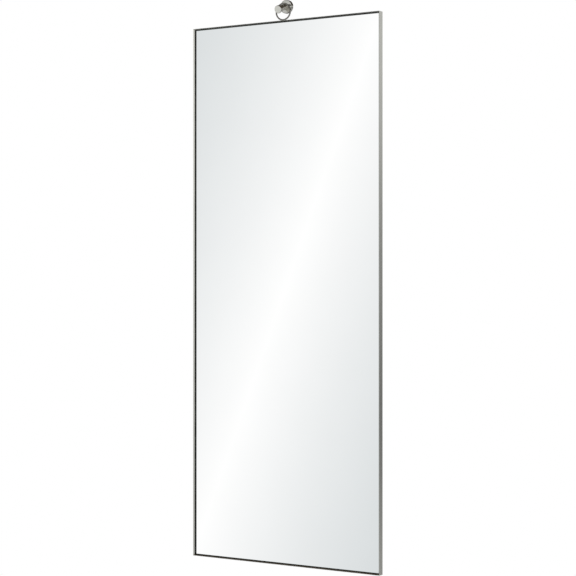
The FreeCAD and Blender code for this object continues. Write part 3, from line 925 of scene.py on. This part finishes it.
# Floor: a plain pale disc under the mirror, which takes its shadow and fades out at its rim.
# It isn't part of the object.
FLOOR_DROP = 0.40
FLOOR_RADIUS = 1.9
FLOOR_FADE_START = 1.2
FLOOR_PALE = (0.90, 0.90, 0.89, 1.0)
FLOOR_SHADE = (0.87, 0.87, 0.86, 1.0)
FLOOR_CLOUDS_PER_METRE = 3.0
FLOOR_ROUGHNESS = 0.9
FLOOR_SIDES = 96
floor_level = frame_bottom - FLOOR_DROP


def floor_points():
    """Two rings, (u, r) -> (r cos u, r sin u), at the floor's level; the inner one is its middle."""
    turn = np.linspace(0, 2 * math.pi, FLOOR_SIDES, endpoint=False)[None, :]
    reach = np.array([0.0, FLOOR_RADIUS])[:, None]
    flat = reach * np.cos(turn)
    return np.stack([flat, reach * np.sin(turn), np.full_like(flat, floor_level)], -1)


def smooth_share(tree, value, none_at, all_at):
    """0 at one value and 1 at another, smooth between."""
    node = tree.nodes.new("ShaderNodeMapRange")
    node.interpolation_type = "SMOOTHSTEP"
    node.inputs["From Min"].default_value = none_at
    node.inputs["From Max"].default_value = all_at
    tree.links.new(value, node.inputs["Value"])
    return node.outputs["Result"]


def pale_floor(name):
    """A matt pale floor whose rim fades to nothing."""
    material, tree, shader = new_finish(name)
    clouds = even_grain(tree, FLOOR_CLOUDS_PER_METRE)
    place = tree.nodes.new("ShaderNodeTexCoord")
    flat = tree.nodes.new("ShaderNodeVectorMath")
    flat.operation = "MULTIPLY"
    flat.inputs[1].default_value = (1, 1, 0)
    reach = tree.nodes.new("ShaderNodeVectorMath")
    reach.operation = "LENGTH"
    tree.links.new(place.outputs["Object"], flat.inputs[0])
    tree.links.new(flat.outputs["Vector"], reach.inputs[0])
    shown = smooth_share(tree, reach.outputs["Value"], FLOOR_RADIUS, FLOOR_FADE_START)
    tree.links.new(shown, shader.inputs["Alpha"])
    tint(tree, shader, clouds, FLOOR_SHADE, FLOOR_PALE)
    shader.inputs["Roughness"].default_value = FLOOR_ROUGHNESS
    return material


floor = surface("floor", floor_points())
floor.data.materials.append(pale_floor("pale_floor"))
floor.visible_glossy = False


# Camera: a long lens to the mirror's right, level, with the lens shifted down a little.
# Its place is worked out from the pixels of the frame's corners in the photograph.
PHOTO_SIDE = 576.0
FOCAL_PIXELS = 1588.0
HORIZON_ROW = 280.3
SENSOR_WIDTH = 36.0
VIEW_YAW = math.radians(31.32)
EYE_DISTANCE = 4.441
EYE_RIGHT = 0.01437
EYE_UP = 0.03477
forward = Vector((-math.sin(VIEW_YAW), math.cos(VIEW_YAW), 0))
rightward = Vector((math.cos(VIEW_YAW), math.sin(VIEW_YAW), 0))
upward = Vector((0, 0, 1))
frame_middle = Vector((0, rail_low.y, frame_level))
lens = bpy.data.cameras.new("camera")
lens.sensor_width = SENSOR_WIDTH
lens.lens = SENSOR_WIDTH * FOCAL_PIXELS / PHOTO_SIDE
lens.shift_y = (HORIZON_ROW - PHOTO_SIDE / 2) / PHOTO_SIDE
camera = link("camera", lens)
camera.location = frame_middle - EYE_DISTANCE * forward + EYE_RIGHT * rightward + EYE_UP * upward
camera.rotation_mode = "QUATERNION"
camera.rotation_quaternion = forward.to_track_quat("-Z", "Y")
bpy.context.scene.camera = camera
bpy.context.scene.view_settings.view_transform = "Standard"


# Studio: a white background, and a pale room that metal and glass show.
# A white screen stands to the left of the camera, brightest along a slanted line and darker at its
# left end. The room is darker behind the mirror and overhead, and paler in front of it.
BACKGROUND_WHITE = (1.0, 1.0, 1.0, 1.0)
SCREEN_PEAK = (1.064, 1.064, 1.064, 1.0)
SCREEN_FAR = (0.258, 0.337, 0.366, 1.0)
SCREEN_FALL = 0.227
SCREEN_SLANT = -0.3452
SCREEN_BEND = 0.14
SCREEN_RETURN = -0.2
SCREEN_END = (0.34, 0.36, 0.37, 1.0)
# Each pair gives where a share of the look is none and where it is whole.
# Each stop gives a height and its grey.
SCREEN_END_ACROSS = (-0.30, -0.44)
SCREEN_END_HEIGHT = (0.34, 0.08)
SCREEN_SIDES = (math.cos(math.radians(55)), math.cos(math.radians(40)))
SCREEN_TOP = (math.sin(math.radians(14)), math.sin(math.radians(10.5)))
SCREEN_FOOT = (-0.62, -0.45)
ROOM_FRONT = ((-1.0, 0.80), (-0.5, 0.74), (-0.2, 0.60), (-0.1, 0.74), (0.14, 1.20))
ROOM_BACK = (
    (-1.0, 0.02), (-0.62, 0.03), (-0.48, 0.46), (-0.19, 0.44), (-0.09, 0.20), (0.0, 0.33), (0.16, 0.74),
)
FRONT_STARTS = (-0.26, -0.46)
CEILING = (0.078, 0.064, 0.050, 1.0)
CEILING_STARTS = (0.17, 0.30)
CEILING_FRONT = (0.56, 0.57, 0.57, 1.0)
CEILING_FRONT_STARTS = (-0.62, -0.84)
DIFFUSE_TONE = (0.55, 0.55, 0.55, 1.0)


def facing(tree, look, direction):
    """How far a look along the ray goes with a direction: their dot product."""
    node = tree.nodes.new("ShaderNodeVectorMath")
    node.operation = "DOT_PRODUCT"
    node.inputs[1].default_value = direction
    tree.links.new(look, node.inputs[0])
    return node.outputs["Value"]


def mixed(tree, share, first, second):
    """Two colours mixed; each is a colour or another node's output."""
    node = tree.nodes.new("ShaderNodeMix")
    node.data_type = "RGBA"
    tree.links.new(share, node.inputs["Factor"])
    for name, colour in (("A", first), ("B", second)):
        socket = next(s for s in node.inputs if s.name == name and s.type == "RGBA")
        if isinstance(colour, tuple):
            socket.default_value = colour
        else:
            tree.links.new(colour, socket)
    return next(s for s in node.outputs if s.type == "RGBA")


def room_tone(tree, height, stops):
    """The room's grey by the height of the look, from -1, straight down, to 1, straight up."""
    ramp = tree.nodes.new("ShaderNodeValToRGB")
    ramp.color_ramp.interpolation = "EASE"
    while len(ramp.color_ramp.elements) < len(stops):
        ramp.color_ramp.elements.new(0.5)
    for element, (level, grey) in zip(ramp.color_ramp.elements, stops):
        element.position = (level + 1) / 2
        element.color = (grey, grey, grey, 1)
    tree.links.new(computed(tree, "MULTIPLY_ADD", height, 0.5, 0.5), ramp.inputs["Fac"])
    return ramp.outputs["Color"]


def screen_glow(tree, across, height):
    """How much the screen glows: e^(-d / fall), with d the distance from its slanted line.

    d = |across + slant height|, and past the bend it comes back slowly.
    """
    off_line = computed(tree, "ABSOLUTE", computed(tree, "MULTIPLY_ADD", height, SCREEN_SLANT, across))
    past_bend = computed(tree, "MAXIMUM", computed(tree, "SUBTRACT", off_line, SCREEN_BEND), 0.0)
    distance = computed(tree, "MULTIPLY_ADD", past_bend, SCREEN_RETURN - 1, off_line)
    return computed(tree, "POWER", math.e, computed(tree, "DIVIDE", distance, -SCREEN_FALL))


world = bpy.data.worlds.new("studio")
bpy.context.scene.world = world
world.use_nodes = True
world.cycles.sampling_method = "NONE"
room = world.node_tree
background = room.nodes["Background"]
look = room.nodes.new("ShaderNodeTexCoord").outputs["Generated"]
height = facing(room, look, upward)
to_screen = Vector((-math.sin(VIEW_YAW), -math.cos(VIEW_YAW), 0))
across_screen = Vector((math.cos(VIEW_YAW), -math.sin(VIEW_YAW), 0))
across = facing(room, look, across_screen)
screen_colour = mixed(room, screen_glow(room, across, height), SCREEN_FAR, SCREEN_PEAK)
end_level = smooth_share(room, computed(room, "ABSOLUTE", height), *SCREEN_END_HEIGHT)
at_end = computed(room, "MULTIPLY", smooth_share(room, across, *SCREEN_END_ACROSS), end_level)
screen_colour = mixed(room, at_end, screen_colour, SCREEN_END)
between_sides = smooth_share(room, facing(room, look, to_screen), *SCREEN_SIDES)
below_top = smooth_share(room, height, *SCREEN_TOP)
above_foot = smooth_share(room, height, *SCREEN_FOOT)
on_screen = computed(room, "MULTIPLY", between_sides, computed(room, "MULTIPLY", below_top, above_foot))
to_wall = Vector((0, 1, 0))
backward = facing(room, look, to_wall)
in_front = smooth_share(room, backward, *FRONT_STARTS)
walls = mixed(room, in_front, room_tone(room, height, ROOM_BACK), room_tone(room, height, ROOM_FRONT))
ceiling = mixed(room, smooth_share(room, backward, *CEILING_FRONT_STARTS), CEILING, CEILING_FRONT)
walls = mixed(room, smooth_share(room, height, *CEILING_STARTS), walls, ceiling)
seen_in_gloss = mixed(room, on_screen, walls, screen_colour)
ray = room.nodes.new("ShaderNodeLightPath").outputs
gloss_or_glass = computed(room, "MAXIMUM", ray["Is Glossy Ray"], ray["Is Transmission Ray"])
light = mixed(room, gloss_or_glass, DIFFUSE_TONE, seen_in_gloss)
room.links.new(mixed(room, ray["Is Camera Ray"], light, BACKGROUND_WHITE), background.inputs["Color"])


# Lamps: a broad soft key from the upper left and a softer one behind, for the board and the shadow.
# They don't show in the glass or the metal, which reflect the room.
LAMP_SIZE = 1.6
KEY_LAMP_PLACE = (-1.9, -2.4, 0.9)
KEY_LAMP_WATTS = 62.0
BACK_LAMP_PLACE = (1.7, 2.3, 0.7)
BACK_LAMP_WATTS = 50.0
for name, place, watts in (("key_lamp", KEY_LAMP_PLACE, KEY_LAMP_WATTS),
                           ("back_lamp", BACK_LAMP_PLACE, BACK_LAMP_WATTS)):
    lamp = bpy.data.lights.new(name, "AREA")
    lamp.shape = "DISK"
    lamp.size = LAMP_SIZE
    lamp.energy = watts
    stand = link(name, lamp)
    stand.location = place
    stand.rotation_mode = "QUATERNION"
    stand.rotation_quaternion = (frame_middle - Vector(place)).to_track_quat("-Z", "Y")
    stand.visible_glossy = False
    stand.visible_transmission = False
